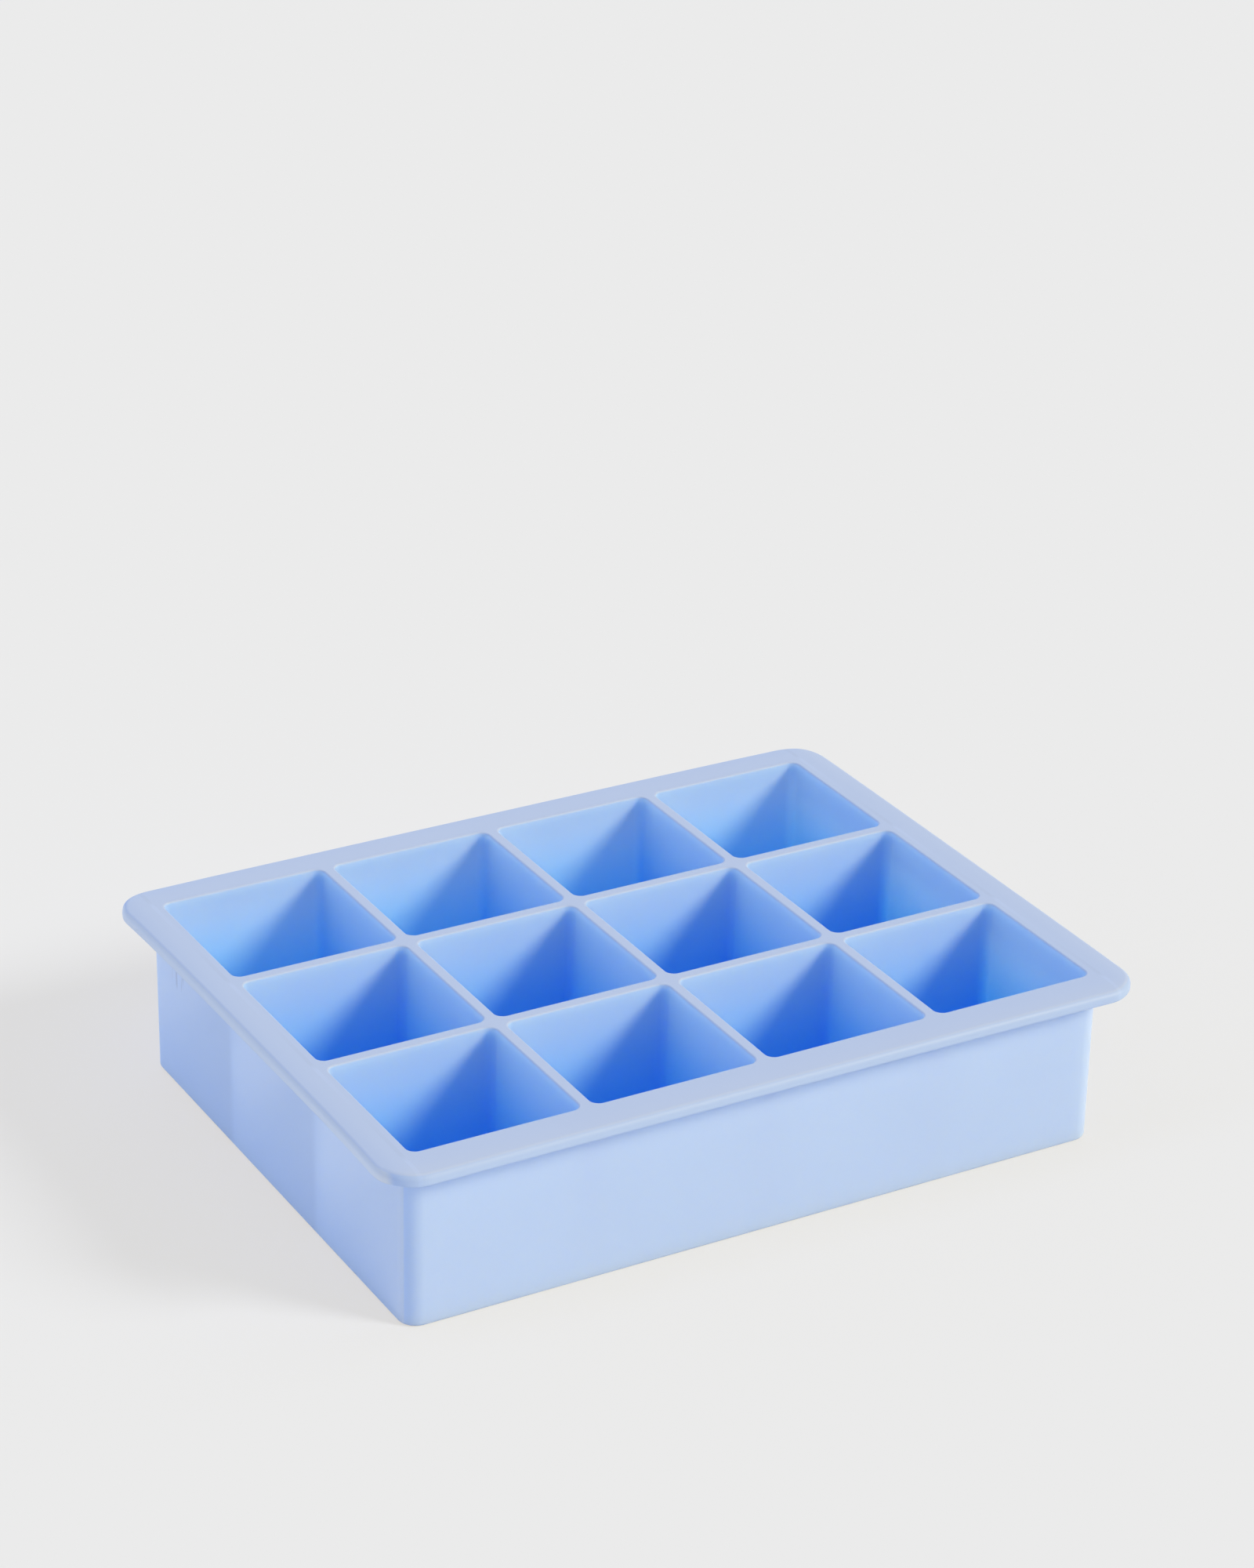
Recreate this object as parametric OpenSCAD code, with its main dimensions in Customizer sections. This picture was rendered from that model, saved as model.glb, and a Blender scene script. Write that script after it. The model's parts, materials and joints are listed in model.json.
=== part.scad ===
// Ice cube tray for large cubes, moulded in one piece of soft silicone.
// Open square moulds stand side by side in a plain tub with a wide rolled rim.
// Millimetres, +Z up. The origin is the centre of the underside, on the table.

/* [Moulds] */
// Moulds along the tray
moulds_long = 4; // [1:1:6]
// Moulds across the tray
moulds_wide = 3; // [1:1:5]
// Width of each square mould, just under its lip
mould_w = 44.8; // [30:0.1:60]
// Depth of each mould, from the top of the rim to its floor
mould_depth = 43; // [25:0.5:60]
// Slope of the mould walls, so that the cubes let go, in degrees
mould_draft = 0.4; // [0:0.1:0.8]
// Radius of the upright corners of a mould, just under its lip
mould_corner_r = 2.4; // [2.2:0.1:6]
// Radius where the mould walls meet the floor
mould_floor_r = 1.4; // [0.4:0.1:1.4]
// Radius of the soft lip round the mouth of each mould
lip_r = 0.5; // [0.2:0.1:0.8]

/* [Walls] */
// Thickness of the dividers between two moulds, just under the lip
divider_t = 3.2; // [2:0.1:6]
// Thickness of the outer walls, just under the lip
wall_t = 2.5; // [1.6:0.1:4]
// Thickness of the floor
floor_t = 3; // [1.6:0.1:5]
// Slope of the outer walls, which narrow towards the table, in degrees
body_draft = 0.1; // [0:0.1:0.6]
// Radius of the four upright outer corners, just under the rim
body_corner_r = 5; // [2.8:0.1:10]
// Radius of the edge that stands on the table
foot_r = 1; // [0.4:0.1:1.8]

/* [Rim] */
// How far the rim reaches out past the walls
rim_reach = 7.8; // [4:0.1:14]
// Thickness of the rim
rim_t = 3.1; // [2:0.1:5]
// Radius round the top of the rim's outer edge
rim_top_r = 1.5; // [0.4:0.1:1.5]
// Radius round the bottom of the rim's outer edge
rim_under_r = 0.8; // [0.3:0.1:1.2]
// Radius of the corners of the rim, seen from above
rim_corner_r = 10.5; // [6:0.1:20]
// Radius of the hollow where the wall runs into the underside of the rim
rim_root_r = 0.9; // [0.3:0.1:2]

/* [Hidden] */

// Flats in a quarter turn of a small rounding, and facets in a full turn of a corner
arc_steps = 6;
corner_facets = 64;

// How far the moulds are cut past the top of the rim
cut_over = 1;

height = mould_depth + floor_t;
pitch = mould_w + divider_t;
body_l = moulds_long * pitch - divider_t + 2 * wall_t;
body_w = moulds_wide * pitch - divider_t + 2 * wall_t;
rim_l = body_l + 2 * rim_reach;
rim_w = body_w + 2 * rim_reach;
lip_z = height - lip_r;
rim_under_z = height - rim_t;
rim_core_z = height - rim_top_r;

// The rim's two edge radii fit in its thickness
rim_low_r = min(rim_under_r, rim_t - rim_top_r);

silicone_blue = [0.66, 0.77, 0.93];

// Points of an arc about (out, z), from one angle to another
function arc(out, z, r, from, to) =
    [for (i = [0:arc_steps]) let (a = from + (to - from) * i / arc_steps) [out + r * cos(a), z + r * sin(a)]];

// A list from its last entry to its first
function reversed(list) = [for (i = [len(list) - 1:-1:0]) list[i]];

// A solid with a rounded rectangular outline and the same edge all the way round.
// The edge is a list of [distance out from the corner centres, height], from the bottom up.
module edged_block(length, width, corner_r, edge) {
    straight_l = length - 2 * corner_r;
    straight_w = width - 2 * corner_r;
    rotate([90, 0, 90])
        linear_extrude(height = straight_l, center = true)
            both_edges(straight_w, edge);
    rotate([90, 0, 0])
        linear_extrude(height = straight_w, center = true)
            both_edges(straight_l, edge);
    for (side = [-1, 1], end = [-1, 1])
        translate([end * straight_l / 2, side * straight_w / 2, 0])
            rotate([0, 0, corner_turn(end, side)])
                rotate_extrude(angle = 90, $fn = corner_facets)
                    polygon(concat([[0, edge[0][1]]], edge, [[0, edge[len(edge) - 1][1]]]));
}

// Section across the block, with the edge on both sides of a straight stretch
module both_edges(straight, edge) {
    polygon(concat(
        [for (p = edge) [straight / 2 + p[0], p[1]]],
        [for (p = reversed(edge)) [-straight / 2 - p[0], p[1]]]));
}

// Turn that brings a quarter round into the corner at the given end and side
function corner_turn(end, side) = end > 0 ? (side > 0 ? 0 : 270) : (side > 0 ? 90 : 180);

// Edge of the tub: rounded foot, slightly sloping wall, and the hollow under the rim
function tub_edge() =
    let (
        slope = tan(body_draft),
        root_z = rim_under_z - rim_root_r,
        foot_out = body_corner_r - (root_z - foot_r) * slope
    )
    concat(
        arc(foot_out - foot_r, foot_r, foot_r, -90, 0),
        arc(body_corner_r + rim_root_r, root_z, rim_root_r, 180, 90),
        [[body_corner_r + rim_root_r, rim_core_z]]);

// Edge of the rim: a small round below, a short upright band, and a large round above
function rim_edge() = concat(
    arc(rim_corner_r - rim_low_r, rim_under_z + rim_low_r, rim_low_r, -90, 0),
    arc(rim_corner_r - rim_top_r, rim_core_z, rim_top_r, 0, 90));

// Edge of a mould: rounded floor, sloping wall, and a lip that opens at the top
function mould_edge() =
    let (
        slope = tan(mould_draft),
        floor_out = mould_corner_r - (lip_z - floor_t - mould_floor_r) * slope
    )
    concat(
        arc(floor_out - mould_floor_r, floor_t + mould_floor_r, mould_floor_r, -90, 0),
        arc(mould_corner_r + lip_r, lip_z, lip_r, 180, 90),
        [[mould_corner_r + lip_r, height + cut_over]]);

// The tub that the moulds are sunk into
module tub() {
    edged_block(body_l, body_w, body_corner_r, tub_edge());
}

// The wide rim round the top
module rim() {
    edged_block(rim_l, rim_w, rim_corner_r, rim_edge());
}

// The space of one cube
module mould() {
    edged_block(mould_w, mould_w, mould_corner_r, mould_edge());
}

// Places its child at the centre of every mould
module each_mould() {
    for (column = [0:moulds_long - 1], row = [0:moulds_wide - 1])
        translate([
            (column - (moulds_long - 1) / 2) * pitch,
            (row - (moulds_wide - 1) / 2) * pitch,
            0])
            children();
}

// The whole tray, one piece of silicone
module tray() {
    color(silicone_blue)
        difference() {
            union() {
                tub();
                rim();
            }
            each_mould() mould();
        }
}

tray();
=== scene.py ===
"""Look of a one-piece silicone ice cube tray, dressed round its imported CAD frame.

The tray is a single moulding: a block of deep square moulds in a straight tub, with a wide rolled rim.
Its surface is built here as one closed mesh. The moulds are one cell, repeated by Geometry Nodes, and a
second node tree lets the soft moulding relax: the rim sags, its corners droop and its left end bows in.
All lengths are metres in the frame of the CAD model: +Z up, the origin at the centre of the underside.
"""

import json
import logging
import math
from dataclasses import dataclass
from enum import Enum
from typing import Any, Callable, Union

import bpy
import numpy as np
from mathutils import Euler, Matrix, Vector

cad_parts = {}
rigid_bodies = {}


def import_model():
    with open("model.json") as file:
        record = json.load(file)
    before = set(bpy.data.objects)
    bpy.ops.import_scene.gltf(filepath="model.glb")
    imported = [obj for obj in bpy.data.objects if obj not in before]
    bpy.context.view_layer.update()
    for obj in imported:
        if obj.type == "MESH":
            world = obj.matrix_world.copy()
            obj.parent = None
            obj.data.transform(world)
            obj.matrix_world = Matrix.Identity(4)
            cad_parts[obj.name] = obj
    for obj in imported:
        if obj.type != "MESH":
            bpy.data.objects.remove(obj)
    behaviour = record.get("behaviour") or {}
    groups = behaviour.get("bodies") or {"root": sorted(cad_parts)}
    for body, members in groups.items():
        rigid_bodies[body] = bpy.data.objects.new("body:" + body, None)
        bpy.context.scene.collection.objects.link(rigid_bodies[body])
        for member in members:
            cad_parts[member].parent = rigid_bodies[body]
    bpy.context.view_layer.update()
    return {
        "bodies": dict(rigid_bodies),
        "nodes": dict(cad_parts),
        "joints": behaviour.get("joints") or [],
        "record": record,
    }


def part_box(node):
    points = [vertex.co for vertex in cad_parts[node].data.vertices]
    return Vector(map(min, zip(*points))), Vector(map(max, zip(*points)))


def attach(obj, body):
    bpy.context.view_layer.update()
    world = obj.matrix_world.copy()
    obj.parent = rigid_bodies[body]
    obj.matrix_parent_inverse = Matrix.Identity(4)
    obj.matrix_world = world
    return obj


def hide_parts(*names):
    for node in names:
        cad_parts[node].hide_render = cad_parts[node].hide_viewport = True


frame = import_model()

MM = 0.001
TRAY_NODE = "tray"
TRAY_BODY = "root"
MOULD_PREFIX = "mould_"
DEPTH_ATTRIBUTE = "mould_depth"
# Points nearer than this to each other are one
WELD = 0.004 * MM
# Centres of the moulds are read to a hundredth of a millimetre
PLACE_DIGITS = 5
# What noise and a sawtooth come to on average
MEAN_LEVEL = 0.5
WHITE = (1.0, 1.0, 1.0, 1.0)
SILICONE_IOR = 1.41
# Keeps a pattern's phase above nought, so that its fraction is a sawtooth on both sides of the middle
WHOLE_TURNS = 100
# Places of the sockets that a Mix node uses for colours, as its other sockets have the same names
MIX_SHARE, MIX_FIRST, MIX_SECOND, MIX_RESULT = 0, 6, 7, 2

log = logging.getLogger("ice_cube_tray")

Number = Union[int, float]
Colour = tuple[float, float, float]
Place = tuple[float, float, float]
Span = tuple[float, float]
SectionPoint = tuple[float, float]
DepthRule = Callable[[np.ndarray], np.ndarray]


class SocketKind(Enum):
    """Kinds of named input that the node trees offer."""

    GEOMETRY = "NodeSocketGeometry"
    OBJECT = "NodeSocketObject"
    MATERIAL = "NodeSocketMaterial"
    WHOLE = "NodeSocketInt"
    LENGTH = "NodeSocketFloat"


class Term:
    """A socket of a node tree that Python's operators can reckon with."""

    def __init__(self, graph: "Graph", socket: Any) -> None:
        """Keeps the socket and the graph that its Math nodes go into.

        Args:
            graph: The graph that holds the socket's node.
            socket: An output socket.
        """
        self.graph = graph
        self.socket = socket

    def _math(self, operation: str, *values: Any) -> "Term":
        """Adds a Math node.

        Args:
            operation: The node's operation.
            values: Its operands, as numbers or terms.

        Returns:
            The node's result.
        """
        return self.graph.add("ShaderNodeMath", {"operation": operation}, dict(enumerate(values)))

    def __add__(self, other: Any) -> "Term":
        """Sum of two terms."""
        return self._math("ADD", self, other)

    def __radd__(self, other: Any) -> "Term":
        """Sum with a number on the left."""
        return self._math("ADD", other, self)

    def __sub__(self, other: Any) -> "Term":
        """Difference of two terms."""
        return self._math("SUBTRACT", self, other)

    def __rsub__(self, other: Any) -> "Term":
        """Difference with a number on the left."""
        return self._math("SUBTRACT", other, self)

    def __mul__(self, other: Any) -> "Term":
        """Product of two terms."""
        return self._math("MULTIPLY", self, other)

    def __rmul__(self, other: Any) -> "Term":
        """Product with a number on the left."""
        return self._math("MULTIPLY", other, self)

    def __truediv__(self, other: Any) -> "Term":
        """Quotient of two terms."""
        return self._math("DIVIDE", self, other)

    def __rtruediv__(self, other: Any) -> "Term":
        """Quotient with a number on the left."""
        return self._math("DIVIDE", other, self)

    def __pow__(self, other: Any) -> "Term":
        """Power of a term."""
        return self._math("POWER", self, other)

    def __rpow__(self, other: Any) -> "Term":
        """Power with a number on the left."""
        return self._math("POWER", other, self)

    def __neg__(self) -> "Term":
        """The term with its sign turned."""
        return self._math("MULTIPLY", self, -1.0)

    def __abs__(self) -> "Term":
        """The term without its sign."""
        return self._math("ABSOLUTE", self)

    def sign(self) -> "Term":
        """Minus one, nought or one."""
        return self._math("SIGN", self)

    def fraction(self) -> "Term":
        """What the term has after its whole part."""
        return self._math("FRACT", self)

    def window(self, low: Number, high: Number, soft: Number) -> "Term":
        """One between low and high, and nought outside, with soft ends.

        Args:
            low: Where the window opens.
            high: Where it closes.
            soft: How long each end takes.

        Returns:
            The window.
        """
        return self.ramp(low - soft, low) * (1 - self.ramp(high, high + soft))

    def ramp(self, low: Any, high: Any, start: Number = 0.0, end: Number = 1.0) -> "Term":
        """A smooth step from start to end as the term goes from low to high.

        Args:
            low: Where the step begins.
            high: Where the step ends.
            start: Result at and below low.
            end: Result at and above high.

        Returns:
            The stepped term.
        """
        settings = {"interpolation_type": "SMOOTHSTEP"}
        inputs = {"Value": self, "From Min": low, "From Max": high, "To Min": start, "To Max": end}
        return self.graph.add("ShaderNodeMapRange", settings, inputs)


class Graph:
    """A node tree that is built by expressions."""

    def __init__(self, tree: Any) -> None:
        """Starts on an emptied tree.

        Args:
            tree: A shader or geometry node tree.
        """
        self.tree = tree
        tree.nodes.clear()

    def node(self, kind: str, settings: dict[str, Any], inputs: dict[Any, Any]) -> Any:
        """Adds a node.

        Args:
            kind: The node's type.
            settings: Its own properties, which are set first.
            inputs: Values or terms for its input sockets, by name or place.

        Returns:
            The node.
        """
        made = self.tree.nodes.new(kind)
        for name, value in settings.items():
            setattr(made, name, value)
        for key, value in inputs.items():
            socket = made.inputs[key]
            if isinstance(value, Term):
                self.tree.links.new(value.socket, socket)
            else:
                socket.default_value = value
        return made

    def add(self, kind: str, settings: dict[str, Any], inputs: dict[Any, Any], output: Any = 0) -> Term:
        """Adds a node and gives one of its outputs.

        Args:
            kind: The node's type.
            settings: Its own properties, which are set first.
            inputs: Values or terms for its input sockets, by name or place.
            output: Name or place of the output.

        Returns:
            That output as a term.
        """
        return Term(self, self.node(kind, settings, inputs).outputs[output])

    def axes(self, vector: Term) -> tuple[Term, Term, Term]:
        """Splits a vector.

        Args:
            vector: A vector term.

        Returns:
            Its three parts.
        """
        parts = self.node("ShaderNodeSeparateXYZ", {}, {0: vector})
        return Term(self, parts.outputs[0]), Term(self, parts.outputs[1]), Term(self, parts.outputs[2])

    def vector(self, x: Any, y: Any, z: Any) -> Term:
        """Joins three parts into a vector.

        Args:
            x: First part.
            y: Second part.
            z: Third part.

        Returns:
            The vector.
        """
        return self.add("ShaderNodeCombineXYZ", {}, {0: x, 1: y, 2: z})

    def mix_colour(self, share: Any, first: Any, second: Any) -> Term:
        """Mixes two colours.

        Args:
            share: How much of the second colour.
            first: A colour or a term.
            second: A colour or a term.

        Returns:
            The mixed colour.
        """
        inputs = {MIX_SHARE: share, MIX_FIRST: first, MIX_SECOND: second}
        return self.add("ShaderNodeMix", {"data_type": "RGBA"}, inputs, MIX_RESULT)


class Recipe:
    """A Geometry Nodes tree with named inputs, made and used by this script."""

    def __init__(self, name: str) -> None:
        """Makes the tree with a geometry input and a geometry output.

        Args:
            name: Name of the node tree.
        """
        self.tree = bpy.data.node_groups.new(name, "GeometryNodeTree")
        self.graph = Graph(self.tree)
        self.identifiers: dict[str, str] = {}
        self.source = self.tree.nodes.new("NodeGroupInput")
        self.sink = self.tree.nodes.new("NodeGroupOutput")
        self.geometry = self.input("Geometry", SocketKind.GEOMETRY)
        kind = SocketKind.GEOMETRY.value
        self.tree.interface.new_socket(name="Geometry", in_out="OUTPUT", socket_type=kind)

    def input(self, name: str, kind: SocketKind) -> Term:
        """Adds a named input.

        Args:
            name: The input's name.
            kind: What it holds.

        Returns:
            The input as a term.
        """
        made = self.tree.interface.new_socket(name=name, in_out="INPUT", socket_type=kind.value)
        self.identifiers[name] = made.identifier
        return Term(self.graph, self.source.outputs[name])

    def result(self, geometry: Term) -> None:
        """Names what the tree gives back.

        Args:
            geometry: The finished geometry.
        """
        self.tree.links.new(geometry.socket, self.sink.inputs["Geometry"])

    def use_on(self, piece: bpy.types.Object, values: dict[str, Any]) -> None:
        """Runs the tree on an object and keeps the result as its plain mesh.

        Args:
            piece: The object, whose mesh is replaced.
            values: A value for each named input.
        """
        modifier = piece.modifiers.new(self.tree.name, "NODES")
        modifier.node_group = self.tree
        for name, value in values.items():
            modifier[self.identifiers[name]] = value
        bpy.context.view_layer.update()
        evaluated = piece.evaluated_get(bpy.context.evaluated_depsgraph_get())
        plain = bpy.data.meshes.new_from_object(evaluated)
        piece.modifiers.remove(modifier)
        old = piece.data
        piece.data = plain
        bpy.data.meshes.remove(old)
        plain.name = piece.name


@dataclass(frozen=True)
class TraySizes:
    """Driving sizes of the tray. What the frame states is read from it."""

    rim_l: float
    rim_w: float
    height: float
    columns: int
    rows: int
    pitch: float
    mould_w: float = 44.8 * MM
    mould_depth: float = 43.0 * MM
    mould_slope: float = math.tan(math.radians(0.4))
    mould_corner_r: float = 2.4 * MM
    mould_floor_r: float = 1.4 * MM
    lip_r: float = 0.5 * MM
    wall_t: float = 2.5 * MM
    body_slope: float = math.tan(math.radians(0.1))
    body_corner_r: float = 5.0 * MM
    foot_r: float = 1.0 * MM
    rim_t: float = 3.1 * MM
    rim_top_r: float = 1.5 * MM
    rim_under_r: float = 0.8 * MM
    rim_corner_r: float = 10.5 * MM
    rim_root_r: float = 0.9 * MM

    @classmethod
    def from_frame(cls, packed: dict[str, Any]) -> "TraySizes":
        """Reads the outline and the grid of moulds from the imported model.


        Returns:
            The sizes.
        """
        low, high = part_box(TRAY_NODE)
        openings = packed["record"]["physics"]["openings"]
        boxes = [opening["box_m"] for opening in openings if opening["name"].startswith(MOULD_PREFIX)]
        along = sorted({round((b[0][0] + b[1][0]) / 2, PLACE_DIGITS) for b in boxes})
        across = sorted({round((b[0][1] + b[1][1]) / 2, PLACE_DIGITS) for b in boxes})
        return cls(
            rim_l=high.x - low.x,
            rim_w=high.y - low.y,
            height=high.z - low.z,
            columns=len(along),
            rows=len(across),
            pitch=along[1] - along[0],
        )

    @property
    def body_l(self) -> float:
        """Length of the tub under the rim."""
        return self.columns * self.pitch - (self.pitch - self.mould_w) + 2 * self.wall_t

    @property
    def body_w(self) -> float:
        """Width of the tub under the rim."""
        return self.rows * self.pitch - (self.pitch - self.mould_w) + 2 * self.wall_t

    @property
    def rim_reach(self) -> float:
        """How far the rim reaches out past the tub."""
        return (self.rim_l - self.body_l) / 2

    @property
    def floor_z(self) -> float:
        """Height of the moulds' floors."""
        return self.height - self.mould_depth


@dataclass(frozen=True)
class SidePlan:
    """How one side of a mould's cell is divided, the same on all, so that neighbours share their points."""

    corner_steps: int = 4
    straight_steps: int = 14
    corner_span: float = 3.6 * MM

    def places(self, pitch: float) -> np.ndarray:
        """Places of the points along one side of a cell.

        Args:
            pitch: Length of the side.

        Returns:
            Places from minus to plus half the pitch.
        """
        half = pitch / 2
        inner = half - self.corner_span
        corner = np.linspace(-half, -inner, self.corner_steps + 1)
        straight = np.linspace(-inner, inner, self.straight_steps + 1)
        return np.concatenate([corner[:-1], straight, -corner[::-1][1:]])

    def row(self, pitch: float, cells: int) -> np.ndarray:
        """Places of the points along a row of cells.

        Args:
            pitch: Length of one cell.
            cells: How many cells stand in the row.

        Returns:
            Places from one end of the row to the other, each once.
        """
        side = self.places(pitch)
        starts = [(cell - (cells - 1) / 2) * pitch for cell in range(cells)]
        return np.concatenate([start + side[:-1] for start in starts] + [[cells * pitch / 2]])


class Outline:
    """Points round a rectangle, the same number on every ring of one shell, so that rings join one to one."""

    def __init__(self, along: np.ndarray, across: np.ndarray, arc_steps: int) -> None:
        """Keeps the division of both sides.

        Args:
            along: Places of the points along the long side, from end to end.
            across: Places of the points along the short side, from end to end.
            arc_steps: How many steps at each end of a side go round the corner.
        """
        self.along = along / along[-1]
        self.across = across / across[-1]
        self.arc_steps = arc_steps

    def _side(self, places: np.ndarray, half: float, reach: float, radius: float) -> np.ndarray:
        """One side of a ring, without its last point.

        Args:
            places: Division of the side, from -1 to 1.
            half: Half of the ring's size along the side.
            reach: Half of the ring's size across the side.
            radius: Corner radius, or nought for a sharp corner.

        Returns:
            Points as (along, outward) pairs.
        """
        if radius <= 0:
            return np.stack([places * half, np.full(len(places), reach)], axis=1)[:-1]
        steps = self.arc_steps
        turn = np.linspace(-math.pi / 4, 0, steps + 1)
        arc = np.stack([np.sin(turn), np.cos(turn)], axis=1) * radius
        straight = places[steps:-steps] / places[-steps - 1] * (half - radius)
        middle = np.stack([straight, np.full(len(straight), reach)], axis=1)
        start = arc[:-1] + (radius - half, reach - radius)
        end = arc[::-1][1:] * (-1, 1) + (half - radius, reach - radius)
        return np.concatenate([start, middle, end])[:-1]

    def ring(self, half_l: float, half_w: float, radius: float, z: float) -> np.ndarray:
        """A closed ring, anticlockwise seen from above.

        Args:
            half_l: Half of its length.
            half_w: Half of its width.
            radius: Corner radius, or nought for sharp corners.
            z: Height.

        Returns:
            Its points.
        """
        long_side = self._side(self.along, half_l, half_w, radius)
        short_side = self._side(self.across, half_w, half_l, radius)
        near = np.stack([long_side[:, 0], -long_side[:, 1]], axis=1)
        right = np.stack([short_side[:, 1], short_side[:, 0]], axis=1)
        flat = np.concatenate([near, right, -near, -right])
        return np.column_stack([flat, np.full(len(flat), z)])


class Skin:
    """Collects points and quads of a surface."""

    def __init__(self) -> None:
        """Starts empty."""
        self.points: list[np.ndarray] = []
        self.quads: list[np.ndarray] = []
        self.count = 0

    def _take(self, points: np.ndarray) -> np.ndarray:
        """Adds points.

        Args:
            points: The points.

        Returns:
            Their numbers.
        """
        first = self.count
        self.points.append(points)
        self.count += len(points)
        return np.arange(first, self.count)

    def stack(self, rings: list[np.ndarray], inward: bool) -> None:
        """Joins rings one after another with quads.

        Args:
            rings: Rings with the same number of points.
            inward: True where the rings close in from their first, which keeps the faces pointing out.
        """
        before = self._take(rings[0])
        for ring in rings[1:]:
            after = self._take(ring)
            a, b = (before, after) if inward else (after, before)
            self.quads.append(np.stack([a, np.roll(a, -1), np.roll(b, -1), b], axis=1))
            before = after

    def sheet(self, along: np.ndarray, across: np.ndarray, z: float, up: bool) -> None:
        """Adds a flat rectangle of quads.

        Args:
            along: Places of its points along X.
            across: Places of its points along Y.
            z: Height.
            up: True where it faces up.
        """
        x, y = np.meshgrid(along, across)
        flat = np.column_stack([x.ravel(), y.ravel(), np.full(x.size, z)])
        number = self._take(flat).reshape(x.shape)
        corners = [number[:-1, :-1], number[:-1, 1:], number[1:, 1:], number[1:, :-1]]
        if not up:
            corners.reverse()
        self.quads.append(np.stack([c.ravel() for c in corners], axis=1))

    def mesh(self, name: str, finish: bpy.types.Material, depth: DepthRule) -> bpy.types.Mesh:
        """Makes the mesh.

        Args:
            name: The mesh's name.
            finish: Its material.
            depth: Gives the share of the way down at a height, positive in a mould and negative outside.

        Returns:
            The mesh, with its doubles still to be merged.
        """
        points = np.concatenate(self.points)
        made = bpy.data.meshes.new(name)
        made.materials.append(finish)
        made.from_pydata(points.tolist(), [], np.concatenate(self.quads).tolist())
        made.update()
        carried = made.attributes.new(DEPTH_ATTRIBUTE, "FLOAT", "POINT")
        carried.data.foreach_set("value", depth(points[:, 2]).astype(np.float32))
        return made


def opaque(colour: Colour) -> tuple[float, float, float, float]:
    """A colour as a node's socket takes it, with full alpha."""
    return (*colour, 1.0)


def arc(out: float, z: float, radius: float, start: float, end: float, steps: int) -> list[SectionPoint]:
    """Points of an arc in a section.

    Args:
        out: Distance of its centre from the corner centres.
        z: Height of its centre.
        radius: Its radius.
        start: First angle, in degrees.
        end: Last angle, in degrees.
        steps: How many steps it takes.

    Returns:
        (out, z) pairs.
    """
    turns = [math.radians(start + (end - start) * step / steps) for step in range(steps + 1)]
    return [(out + radius * math.cos(turn), z + radius * math.sin(turn)) for turn in turns]


def line(start: SectionPoint, end: SectionPoint, steps: int) -> list[SectionPoint]:
    """Points between two points of a section, without either end.

    Args:
        start: First (out, z).
        end: Last (out, z).
        steps: How many steps lie between them.

    Returns:
        (out, z) pairs.
    """
    shares = [step / steps for step in range(1, steps)]
    return [tuple(a + (b - a) * share for a, b in zip(start, end)) for share in shares]


@dataclass(frozen=True)
class MouldCell:
    """One mould and the strip of divider round its mouth, down to its floor."""

    sizes: TraySizes
    plan: SidePlan
    arc_steps: int = 6
    wall_steps: int = 8
    support: float = 0.15 * MM

    def section(self) -> list[SectionPoint]:
        """Edge of the mould from its lip down to its floor.

        Returns:
            (out, z) pairs, with out measured from the centres of the upright corners.
        """
        s = self.sizes
        lip_z = s.height - s.lip_r
        foot_z = s.floor_z + s.mould_floor_r
        foot_out = s.mould_corner_r - (lip_z - foot_z) * s.mould_slope
        lip = arc(s.mould_corner_r + s.lip_r, lip_z, s.lip_r, 90, 180, self.arc_steps)
        top = (s.mould_corner_r - self.support * s.mould_slope, lip_z - self.support)
        bottom = (foot_out + self.support * s.mould_slope, foot_z + self.support)
        wall = [top, *line(top, bottom, self.wall_steps), bottom]
        foot = arc(foot_out - s.mould_floor_r, foot_z, s.mould_floor_r, 0, -90, self.arc_steps)
        return [(s.mould_corner_r + s.lip_r + self.support, s.height), *lip, *wall, *foot]

    def mesh(self, finish: bpy.types.Material) -> bpy.types.Mesh:
        """Builds the cell, open at its border.

        Args:
            finish: Its material.

        Returns:
            The mesh.
        """
        s = self.sizes
        places = self.plan.places(s.pitch)
        outline = Outline(places, places, self.plan.corner_steps)
        half_core = s.mould_w / 2 - s.mould_corner_r
        rings = [outline.ring(s.pitch / 2, s.pitch / 2, 0, s.height)]
        for out, z in self.section():
            rings.append(outline.ring(half_core + out, half_core + out, out, z))
        half_floor = half_core - self.support
        rings.append(outline.ring(half_floor, half_floor, 0, s.floor_z))
        skin = Skin()
        skin.stack(rings, inward=True)
        floor = places / places[-1] * half_floor
        skin.sheet(floor, floor, s.floor_z, up=True)
        return skin.mesh("mould_cell", finish, lambda z: (s.height - z) / s.mould_depth)


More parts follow.
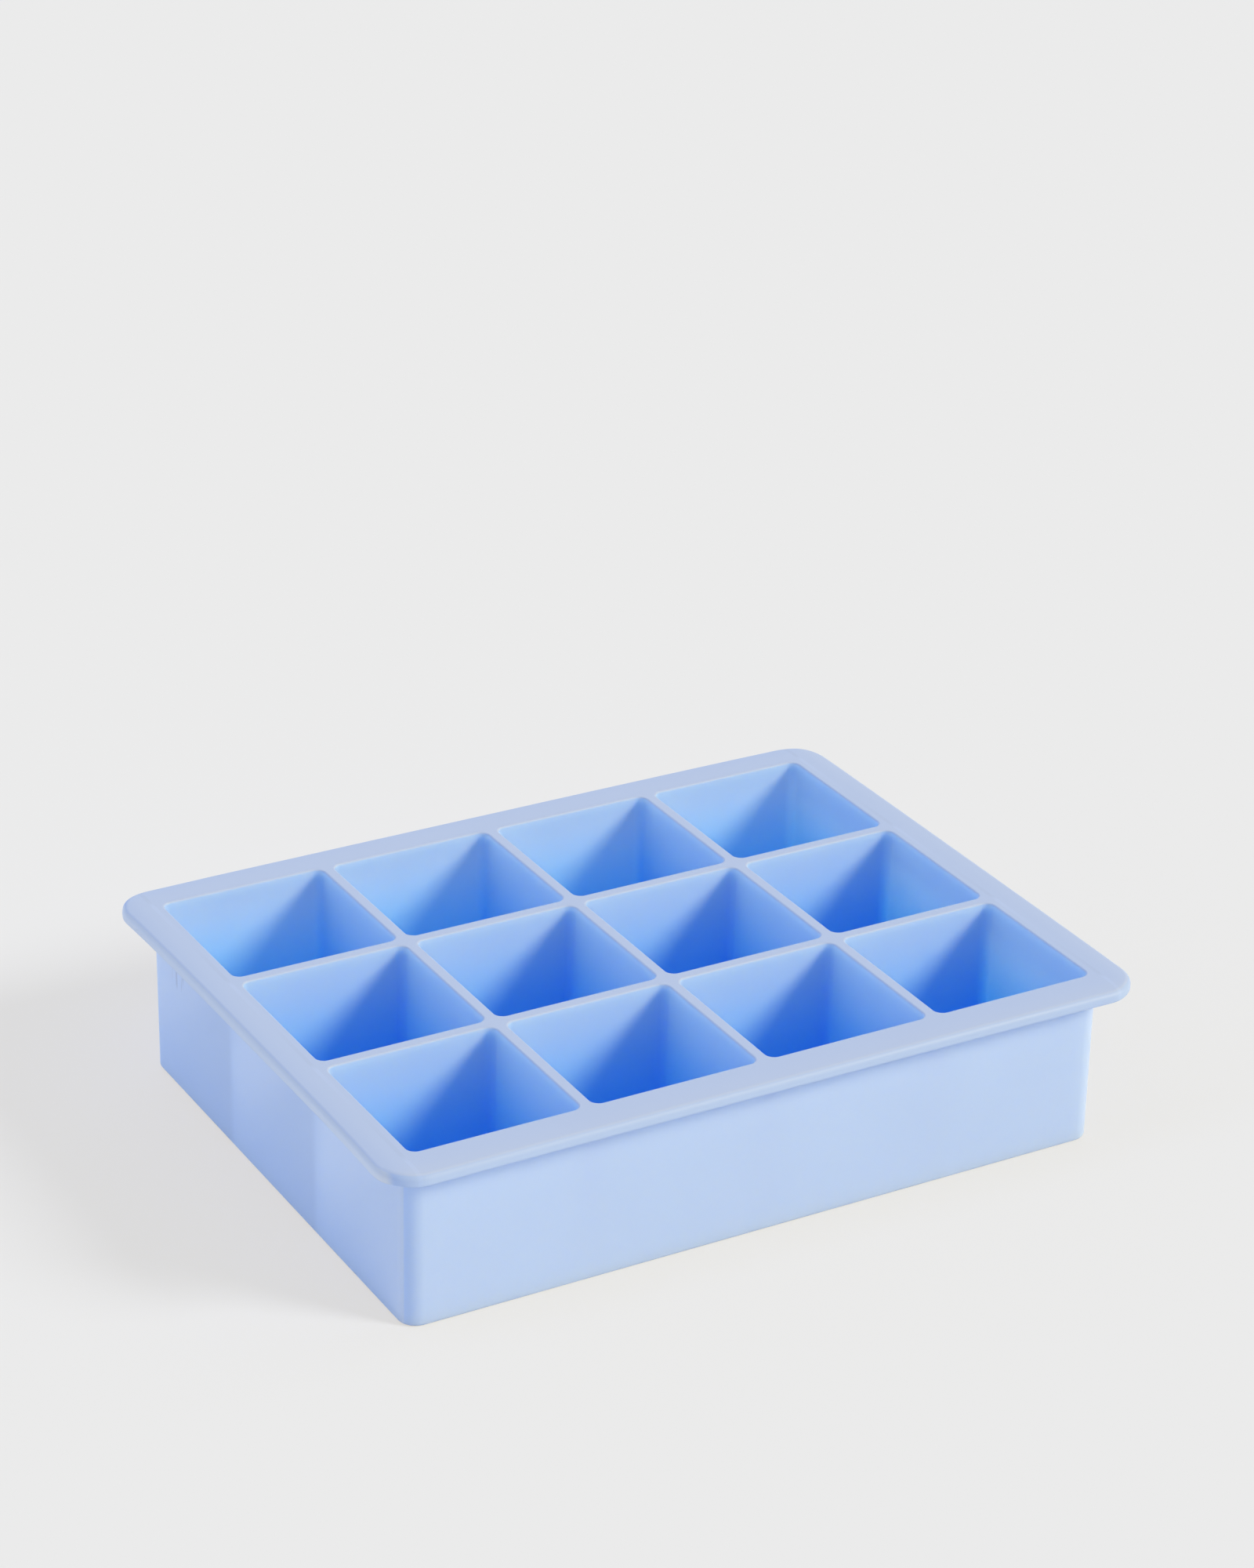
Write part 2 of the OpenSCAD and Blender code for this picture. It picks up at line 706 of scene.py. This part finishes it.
@dataclass(frozen=True)
class OuterSkin:
    """Rim, outer walls, foot and underside, from the border of the block of moulds outwards."""

    sizes: TraySizes
    plan: SidePlan
    corner_steps: int = 8
    arc_steps: int = 6
    rim_steps: int = 8
    wall_steps: int = 10
    flange_steps: int = 8
    support: float = 0.15 * MM

    def rim_rings(self, outline: Outline) -> list[np.ndarray]:
        """Rings over the top of the rim, round its rolled edge and back along its underside.

        Args:
            outline: The shell's outline.

        Returns:
            The rings.
        """
        s = self.sizes
        block_l, block_w = s.columns * s.pitch / 2, s.rows * s.pitch / 2
        core_l, core_w = s.rim_l / 2 - s.rim_corner_r, s.rim_w / 2 - s.rim_corner_r
        top_out, under_out = s.rim_corner_r - s.rim_top_r, s.rim_corner_r - s.rim_under_r
        under_z = s.height - s.rim_t
        first = outline.ring(block_l, block_w, 0, s.height)
        last = outline.ring(core_l + top_out, core_w + top_out, top_out, s.height)
        rings = [first + (last - first) * step / self.flange_steps for step in range(self.flange_steps)]
        inner_out = s.rim_corner_r - s.rim_reach + s.rim_root_r + self.support
        under = ((under_out - self.support, under_z), (inner_out, under_z))
        section = [
            (top_out - self.support, s.height),
            *arc(top_out, s.height - s.rim_top_r, s.rim_top_r, 90, 0, self.rim_steps),
            *arc(under_out, under_z + s.rim_under_r, s.rim_under_r, 0, -90, self.arc_steps),
            under[0],
            *line(*under, self.flange_steps),
        ]
        return rings + [outline.ring(core_l + out, core_w + out, out, z) for out, z in section]

    def tub_rings(self, outline: Outline) -> list[np.ndarray]:
        """Rings from the hollow under the rim down the wall and round the foot.

        Args:
            outline: The shell's outline.

        Returns:
            The rings.
        """
        s = self.sizes
        core_l, core_w = s.body_l / 2 - s.body_corner_r, s.body_w / 2 - s.body_corner_r
        under_z = s.height - s.rim_t
        root_z = under_z - s.rim_root_r
        foot_out = s.body_corner_r - (root_z - s.foot_r) * s.body_slope
        top = (s.body_corner_r, root_z - self.support)
        bottom = (foot_out, s.foot_r + self.support)
        section = [
            (s.body_corner_r + s.rim_root_r + self.support, under_z),
            *arc(s.body_corner_r + s.rim_root_r, root_z, s.rim_root_r, 90, 180, self.arc_steps),
            top,
            *line(top, bottom, self.wall_steps),
            bottom,
            *arc(foot_out - s.foot_r, s.foot_r, s.foot_r, 0, -90, self.arc_steps),
            (foot_out - s.foot_r - self.support, 0.0),
        ]
        return [outline.ring(core_l + out, core_w + out, out, z) for out, z in section]

    def mesh(self, finish: bpy.types.Material) -> bpy.types.Mesh:
        """Builds the skin, open where the block of moulds joins it.

        Args:
            finish: Its material.

        Returns:
            The mesh.
        """
        s = self.sizes
        along = self.plan.row(s.pitch, s.columns)
        across = self.plan.row(s.pitch, s.rows)
        outline = Outline(along, across, self.corner_steps)
        base_l, base_w = s.body_l / 2 - s.body_corner_r, s.body_w / 2 - s.body_corner_r
        skin = Skin()
        base = outline.ring(base_l, base_w, 0, 0.0)
        skin.stack([*self.rim_rings(outline), *self.tub_rings(outline), base], inward=False)
        skin.sheet(along / along[-1] * base_l, across / across[-1] * base_w, 0.0, up=False)
        return skin.mesh("outer_skin", finish, lambda z: (z - s.height) / s.height)


@dataclass(frozen=True)
class Relaxation:
    """How the soft moulding departs from its drawing.

    A power says how late towards an edge or corner it sets in.
    """

    rim_sag: float = 0.2 * MM
    corner_droop: float = 0.35 * MM
    end_bow: float = 0.9 * MM
    ripple: float = 0.12 * MM
    ripple_size: float = 28.0 * MM
    ripple_detail: float = 1.0
    corner_power: float = 4.0
    bow_power: float = 4.0
    start_power: float = 2.0
    seed: int = 7


class TrayBuilder:
    """Joins the cells and the outer skin into the one moulding and dresses it."""

    def __init__(self, sizes: TraySizes, relaxation: Relaxation) -> None:
        """Keeps the sizes.

        Args:
            sizes: Driving sizes.
            relaxation: How far the soft moulding departs from them.
        """
        self.sizes = sizes
        self.relaxation = relaxation
        self.plan = SidePlan()

    def pattern(self) -> Recipe:
        """Node tree that repeats the mould over the grid and joins it to the outer skin.

        Returns:
            The tree.
        """
        recipe = Recipe("mould_pattern")
        graph = recipe.graph
        mould = recipe.input("Mould", SocketKind.OBJECT)
        columns = recipe.input("Columns", SocketKind.WHOLE)
        rows = recipe.input("Rows", SocketKind.WHOLE)
        pitch = recipe.input("Pitch", SocketKind.LENGTH)
        weld = recipe.input("Weld", SocketKind.LENGTH)
        material = recipe.input("Silicone", SocketKind.MATERIAL)
        centres = graph.add("GeometryNodeMeshGrid", {}, {
            "Size X": (columns - 1) * pitch, "Size Y": (rows - 1) * pitch,
            "Vertices X": columns, "Vertices Y": rows,
        })
        cell = graph.add("GeometryNodeObjectInfo", {}, {"Object": mould}, "Geometry")
        cells = graph.add("GeometryNodeInstanceOnPoints", {}, {"Points": centres, "Instance": cell})
        real = graph.add("GeometryNodeRealizeInstances", {}, {"Geometry": cells})
        joined = graph.node("GeometryNodeJoinGeometry", {}, {})
        for part in (real, recipe.geometry):
            recipe.tree.links.new(part.socket, joined.inputs[0])
        whole = graph.add("GeometryNodeMergeByDistance", {}, {
            "Geometry": Term(graph, joined.outputs[0]), "Distance": weld,
        })
        smooth = graph.add("GeometryNodeSetShadeSmooth", {}, {"Geometry": whole})
        recipe.result(graph.add("GeometryNodeSetMaterial", {}, {"Geometry": smooth, "Material": material}))
        return recipe

    def relaxing(self) -> Recipe:
        """Node tree that lets the soft rim sag, its corners droop and its left end bow in.

        Returns:
            The tree.
        """
        recipe = Recipe("soft_moulding")
        graph, r = recipe.graph, self.relaxation
        names = ("Half length", "Half width", "Reach", "Rim sag", "Corner droop", "End bow",
                 "Ripple", "Ripple size", "Seed")
        given = {name: recipe.input(name, SocketKind.LENGTH) for name in names}
        material = recipe.input("Silicone", SocketKind.MATERIAL)
        x, y, z = graph.axes(graph.add("GeometryNodeInputPosition", {}, {}))
        end_share = ((abs(x) - given["Half length"]) / given["Reach"] + 1).ramp(0.0, 1.0)
        side_share = ((abs(y) - given["Half width"]) / given["Reach"] + 1).ramp(0.0, 1.0)
        flange = 1 - (1 - end_share) * (1 - side_share)
        across_x, across_y = abs(x) / given["Half length"], abs(y) / given["Half width"]
        corner = (across_x * across_y) ** r.corner_power
        left_end = (-x.sign() + 1) / 2 * end_share * (1 - across_y ** r.bow_power)
        wave = graph.add("ShaderNodeTexNoise", {"noise_dimensions": "4D"}, {
            "Vector": graph.vector(x / given["Ripple size"], y / given["Ripple size"], 0.0),
            "W": given["Seed"], "Scale": 1.0, "Detail": r.ripple_detail,
        })
        drop = given["Rim sag"] + given["Ripple"] * wave + given["Corner droop"] * corner
        sag = flange ** r.start_power * drop
        moved = graph.add("GeometryNodeSetPosition", {}, {
            "Geometry": recipe.geometry,
            "Offset": graph.vector(left_end * given["End bow"], 0.0, -sag),
        })
        real = graph.add("GeometryNodeRealizeInstances", {}, {"Geometry": moved})
        recipe.result(graph.add("GeometryNodeSetMaterial", {}, {"Geometry": real, "Material": material}))
        return recipe

    def build(self, silicone: bpy.types.Material) -> bpy.types.Object:
        """Builds the tray as one closed mesh.

        Args:
            silicone: The finish of the whole moulding.

        Returns:
            The piece.
        """
        s = self.sizes
        cell = bpy.data.objects.new("mould_cell", MouldCell(s, self.plan).mesh(silicone))
        piece = bpy.data.objects.new("tray_moulding", OuterSkin(s, self.plan).mesh(silicone))
        for made in (cell, piece):
            bpy.context.scene.collection.objects.link(made)
        self.pattern().use_on(piece, {
            "Mould": cell, "Columns": s.columns, "Rows": s.rows, "Pitch": s.pitch,
            "Weld": WELD, "Silicone": silicone,
        })
        bpy.data.objects.remove(cell)
        r = self.relaxation
        self.relaxing().use_on(piece, {
            "Half length": s.rim_l / 2, "Half width": s.rim_w / 2, "Reach": s.rim_reach - s.rim_root_r,
            "Rim sag": r.rim_sag, "Corner droop": r.corner_droop, "End bow": r.end_bow,
            "Ripple": r.ripple, "Ripple size": r.ripple_size, "Seed": float(r.seed), "Silicone": silicone,
        })
        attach(piece, TRAY_BODY)
        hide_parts(TRAY_NODE)
        log.info("%s: %d points, %d faces", piece.name, len(piece.data.vertices), len(piece.data.polygons))
        return piece


@dataclass(frozen=True)
class Silicone:
    """Matte pale blue silicone, clearer inside the moulds, with painted shade that deepens its colour towards
    their floors.

    Where a colour turns into the next is told by the depth: the share of the way down, above nought in a
    mould, below nought outside, and nought on top of the rim. Painted light and shade: the left end is
    painted paler than the other sides, and the rolled rim edge darker.
    """

    sizes: TraySizes
    rim: Colour = (0.464, 0.556, 0.764)
    # Painted shade: the rolled rim edge and the rim's underside are set darker than the rim's top and the
    # walls
    edge: Colour = (0.385, 0.515, 0.8)
    # Painted light: the left end's rolled edge is set paler than the front's, for light that the studio
    # doesn't give there
    left_edge_painted_light: Colour = (0.58, 0.645, 0.76)
    wall: Colour = (0.417, 0.551, 0.826)
    # Painted light: the left end wall is set paler than the front wall, for light that the studio doesn't
    # give there
    left_wall_painted_light: Colour = (0.513, 0.61, 0.79)
    inside: Colour = (0.426, 0.613, 0.88)
    # Painted shade: the moulds' colour deepens to this towards their floors, for light lost between their
    # walls
    deep: Colour = (0.176, 0.548, 0.98)
    lip: Span = (0.0, 0.012)
    turn: Span = (-0.008, -0.001)
    root: Span = (-0.09, -0.07)
    # Where the painted shade in the moulds sets in and where it is full
    fade: Span = (0.02, 0.8)
    mottle: float = 0.03
    mottle_size: float = 26.0 * MM
    mottle_detail: float = 3.0
    # Painted light and shade on the end walls: each bay between the dividers is painted darker at its near
    # end and lighter at its far end, for light through the thin wall
    painted_bay_light: float = 0.08
    # Painted shade in fine crease lines under the left end of the rim
    crease_shade: float = 0.2
    crease_y: Span = (52.0 * MM, 59.0 * MM)
    crease_drop: float = 11.5 * MM
    crease_w: float = 1.5 * MM
    crease_l: float = 14.0 * MM
    crease_detail: float = 1.0
    crease_fade: float = 2.0 * MM
    crease_cut: Span = (0.5, 0.65)
    specks: float = 0.06
    speck_pitch: float = 14.0 * MM
    speck_r: float = 0.22 * MM
    speck_chance: Span = (0.5, 0.6)
    roughness: float = 0.5
    roughness_swing: float = 0.08
    clear_inside: float = 0.77
    clear_below: Span = (0.0, 0.02)
    clear_wall: float = 0.56
    clear_under: Span = (-0.1, -0.075)
    scatter: Colour = (1.31, 1.18, 1.0)
    scatter_depth: float = 7.0 * MM
    grain: float = 0.06
    grain_size: float = 1.1 * MM
    grain_detail: float = 2.0
    grain_depth: float = 0.1 * MM
    wall_band: Span = (-0.6 * MM, 0.3 * MM)
    wall_fade: float = 0.2 * MM

    def _noise(self, graph: Graph, place: Term, size: float, detail: float) -> Term:
        """Cloudy noise.

        Args:
            graph: The material's graph.
            place: Where it is read.
            size: How large its clouds are.
            detail: How fine it gets.

        Returns:
            Its level, about one half on average.
        """
        return graph.add("ShaderNodeTexNoise", {}, {"Vector": place, "Scale": 1 / size, "Detail": detail})

    def material(self) -> bpy.types.Material:
        """Builds the finish.

        Returns:
            The material.
        """
        made = bpy.data.materials.new("silicone")
        made.use_nodes = True
        graph = Graph(made.node_tree)
        place = graph.add("ShaderNodeTexCoord", {}, {}, "Object")
        depth = graph.add("ShaderNodeAttribute", {"attribute_name": DEPTH_ATTRIBUTE}, {}, "Fac")
        x = graph.axes(place)[0]
        half = self.sizes.body_l / 2
        end = abs(x).window(half + self.wall_band[0], half + self.wall_band[1], self.wall_fade)
        tone = self._tone(graph, x, depth, end)
        cloud = self._noise(graph, place, self.mottle_size, self.mottle_detail) - MEAN_LEVEL
        grain = self._noise(graph, place, self.grain_size, self.grain_detail)
        shade = 1 + cloud * self.mottle - self._marks(graph, place, end)
        tinted = graph.add("ShaderNodeVectorMath", {"operation": "SCALE"}, {0: tone, "Scale": shade})
        bump = graph.add("ShaderNodeBump", {}, {
            "Strength": self.grain, "Distance": self.grain_depth, "Height": grain,
        })
        inputs = {
            "Base Color": tinted,
            "Roughness": self.roughness + cloud * self.roughness_swing,
            "IOR": SILICONE_IOR,
            "Normal": bump,
        }
        matte = graph.add("ShaderNodeBsdfPrincipled", {}, inputs)
        clear = graph.add("ShaderNodeBsdfPrincipled", {"subsurface_method": "RANDOM_WALK"}, {
            **inputs,
            "Subsurface Weight": 1.0,
            "Subsurface Radius": self.scatter,
            "Subsurface Scale": self.scatter_depth,
        })
        clearness = depth.ramp(*self.clear_below, 0.0, self.clear_inside)
        clearness = clearness + depth.ramp(*self.clear_under, self.clear_wall, 0.0)
        graph.node("ShaderNodeOutputMaterial", {}, {
            "Surface": graph.add("ShaderNodeMixShader", {}, {0: clearness, 1: matte, 2: clear}),
        })
        return made

    def _tone(self, graph: Graph, x: Term, depth: Term, end: Term) -> Term:
        """Colour of the rim, the moulds and the outer walls, before its clouds and marks.

        Args:
            graph: The material's graph.
            x: Place along the tray.
            depth: Share of the way down.
            end: One on the end walls.

        Returns:
            The colour.
        """
        s = self.sizes
        # Painted shade: the moulds' colour deepens with the depth
        moulds = graph.mix_colour(depth.ramp(*self.fade), opaque(self.inside), opaque(self.deep))
        upward = graph.mix_colour(depth.ramp(*self.lip), opaque(self.rim), moulds)
        rolled = (-x).ramp(s.rim_l / 2 - 2 * s.rim_top_r, s.rim_l / 2 - s.rim_top_r)
        # Painted light and shade: the left end's wall and rolled edge are painted paler, and the rolled edge
        # elsewhere darker than the walls
        walls = graph.mix_colour(end * (1 - x.sign()) / 2, opaque(self.wall), opaque(self.left_wall_painted_light))
        edges = graph.mix_colour(rolled, opaque(self.edge), opaque(self.left_edge_painted_light))
        outside = graph.mix_colour(depth.ramp(*self.root), walls, edges)
        return graph.mix_colour(depth.ramp(*self.turn), outside, upward)

    def _marks(self, graph: Graph, place: Term, end: Term) -> Term:
        """Painted light and shade, and specks: each bay between the dividers on the end walls is painted
        darker at its near end and lighter at its far end, fine crease lines get painted shade, and dark
        specks are strewn about.

        Args:
            graph: The material's graph.
            place: Place on the object.
            end: One on the end walls.

        Returns:
            The share of the colour that is taken away.
        """
        s = self.sizes
        x, y, z = graph.axes(place)
        # Painted light and shade through the end walls: a sawtooth across each bay between the dividers
        bay = (s.mould_w - s.lip_r) / s.pitch
        phase = ((y - (s.pitch - s.mould_w) / 2) / s.pitch + s.rows / 2 + WHOLE_TURNS).fraction()
        painted_bay_light = (MEAN_LEVEL - phase / bay + phase.ramp(bay, 1.0)) * end * self.painted_bay_light
        # Painted shade in fine crease lines under the left end of the rim
        under_z = s.height - s.rim_t - s.rim_root_r
        stretched = graph.vector(y / self.crease_w, 0.0, z / self.crease_l)
        strokes = self._noise(graph, stretched, 1.0, self.crease_detail)
        patch = y.window(*self.crease_y, self.crease_fade)
        patch = patch * z.window(under_z - self.crease_drop, under_z, self.crease_fade) * (1 - x.sign()) / 2
        crease_shade = strokes.ramp(*self.crease_cut) * patch * end * self.crease_shade
        cells = graph.node("ShaderNodeTexVoronoi", {}, {"Vector": place, "Scale": 1 / self.speck_pitch})
        radius = self.speck_r / self.speck_pitch
        chance = graph.axes(Term(graph, cells.outputs["Color"]))[0].ramp(*self.speck_chance)
        specks = (1 - Term(graph, cells.outputs["Distance"]).ramp(radius / 2, radius)) * chance * self.specks
        return painted_bay_light + crease_shade + specks


@dataclass(frozen=True)
class Studio:
    """Pale plain floor, soft light and the camera at the photograph's angle."""

    floor_level: float = 0.831
    floor_half: float = 6.0
    floor_gap: float = 0.02 * MM
    floor_lit: Colour = (0.98, 0.98, 0.98)
    floor_seen: Colour = (0.409, 0.509, 0.87)
    floor_even: Colour = (1.345, 1.223, 0.78)
    sky_level: float = 0.735
    sky_tint: Colour = (0.856, 1.0, 1.275)
    sky_lean: Place = (-0.2, 0.4, -0.228)
    key_strength: float = 2.57
    key_tint: Colour = (1.2, 1.0, 0.618)
    key_softness: float = math.radians(18)
    key_from: Place = (0.601, -0.612, 0.514)
    shadow_share: float = 0.55
    shadow_from: Span = (-92.0 * MM, -70.0 * MM)
    shadow_front: float = 0.15
    light_bounces: int = 12
    camera_place: Place = (-464.64 * MM, -810.86 * MM, 530.02 * MM)
    camera_heading: float = math.radians(29.873)
    camera_dip: float = math.radians(25.258)
    camera_roll: float = math.radians(1.143)
    lens: float = 96.0
    sensor: float = 36.0
    sight: float = 20.0

    def floor(self) -> bpy.types.Object:
        """Lays the floor.

        Returns:
            The floor, which isn't part of the object.
        """
        half = self.floor_half
        z = -self.floor_gap
        mesh = bpy.data.meshes.new("studio_floor")
        corners = [(-half, -half, z), (half, -half, z), (half, half, z), (-half, half, z)]
        mesh.from_pydata(corners, [], [(0, 1, 2, 3)])
        made = bpy.data.objects.new("studio_floor", mesh)
        bpy.context.scene.collection.objects.link(made)
        material = bpy.data.materials.new("studio_floor")
        material.use_nodes = True
        graph = Graph(material.node_tree)
        seen = graph.add("ShaderNodeLightPath", {}, {}, "Is Camera Ray")
        paint = graph.mix_colour(seen, opaque(self.floor_lit), opaque(self.floor_seen))
        lit = graph.add("ShaderNodeBsdfDiffuse", {}, {"Color": paint})
        even = graph.add("ShaderNodeEmission", {}, {"Color": opaque(self.floor_even), "Strength": 1.0})
        shaded = graph.add("ShaderNodeMixShader", {}, {0: seen * (1 - self.shadow_share), 1: lit, 2: even})
        y = graph.axes(graph.add("ShaderNodeTexCoord", {}, {}, "Object"))[1]
        fading = seen * y.ramp(*self.shadow_from, 1 - self.shadow_front, 0.0)
        plain = graph.add("ShaderNodeEmission", {}, {"Color": WHITE, "Strength": self.floor_level})
        graph.node("ShaderNodeOutputMaterial", {}, {
            "Surface": graph.add("ShaderNodeMixShader", {}, {0: fading, 1: shaded, 2: plain}),
        })
        mesh.materials.append(material)
        return made

    def sky(self) -> None:
        """Sets a pale surround for the light and an even backdrop for the camera.

        The surround is brighter at the back and the left, and dimmer overhead.
        """
        world = bpy.data.worlds.new("studio_sky")
        world.use_nodes = True
        bpy.context.scene.world = world
        graph = Graph(world.node_tree)
        direction = graph.add("ShaderNodeTexCoord", {}, {}, "Generated")
        operands = {0: direction, 1: self.sky_lean}
        lean = graph.add("ShaderNodeVectorMath", {"operation": "DOT_PRODUCT"}, operands, "Value")
        strength = self.sky_level + lean
        seen = graph.add("ShaderNodeLightPath", {}, {}, "Is Camera Ray")
        light = graph.add("ShaderNodeBackground", {}, {"Color": opaque(self.sky_tint), "Strength": strength})
        backdrop = graph.add("ShaderNodeBackground", {}, {"Color": WHITE, "Strength": self.floor_level})
        graph.node("ShaderNodeOutputWorld", {}, {
            "Surface": graph.add("ShaderNodeMixShader", {}, {0: seen, 1: light, 2: backdrop}),
        })

    def key(self) -> bpy.types.Object:
        """Hangs the soft key light to the right and in front.

        Returns:
            The lamp.
        """
        data = bpy.data.lights.new("key_light", "SUN")
        data.energy = self.key_strength
        data.color = self.key_tint
        data.angle = self.key_softness
        made = bpy.data.objects.new("key_light", data)
        made.rotation_mode = "QUATERNION"
        made.rotation_quaternion = Vector(self.key_from).to_track_quat("Z", "Y")
        bpy.context.scene.collection.objects.link(made)
        return made

    def camera(self) -> bpy.types.Object:
        """Places the camera.

        Returns:
            The scene's camera.
        """
        data = bpy.data.cameras.new("camera")
        data.lens = self.lens
        data.sensor_width = self.sensor
        data.clip_end = self.sight
        made = bpy.data.objects.new("camera", data)
        turn = Euler((math.pi / 2 - self.camera_dip, 0, -self.camera_heading)).to_matrix()
        roll = Matrix.Rotation(self.camera_roll, 3, "Z")
        made.rotation_mode = "QUATERNION"
        made.rotation_quaternion = (turn @ roll).to_quaternion()
        made.location = self.camera_place
        bpy.context.scene.collection.objects.link(made)
        bpy.context.scene.camera = made
        return made

    def build(self) -> None:
        """Sets up the whole studio."""
        self.floor()
        self.sky()
        self.key()
        self.camera()
        bpy.context.scene.cycles.diffuse_bounces = self.light_bounces
        bpy.context.scene.view_settings.view_transform = "Standard"
        log.info("studio ready")


def main() -> None:
    """Builds the tray and its studio."""
    logging.basicConfig(level=logging.INFO, format="%(name)s: %(message)s")
    sizes = TraySizes.from_frame(frame)
    silicone = Silicone(sizes).material()
    TrayBuilder(sizes, Relaxation()).build(silicone)
    Studio().build()


if __name__ == "__main__":
    main()
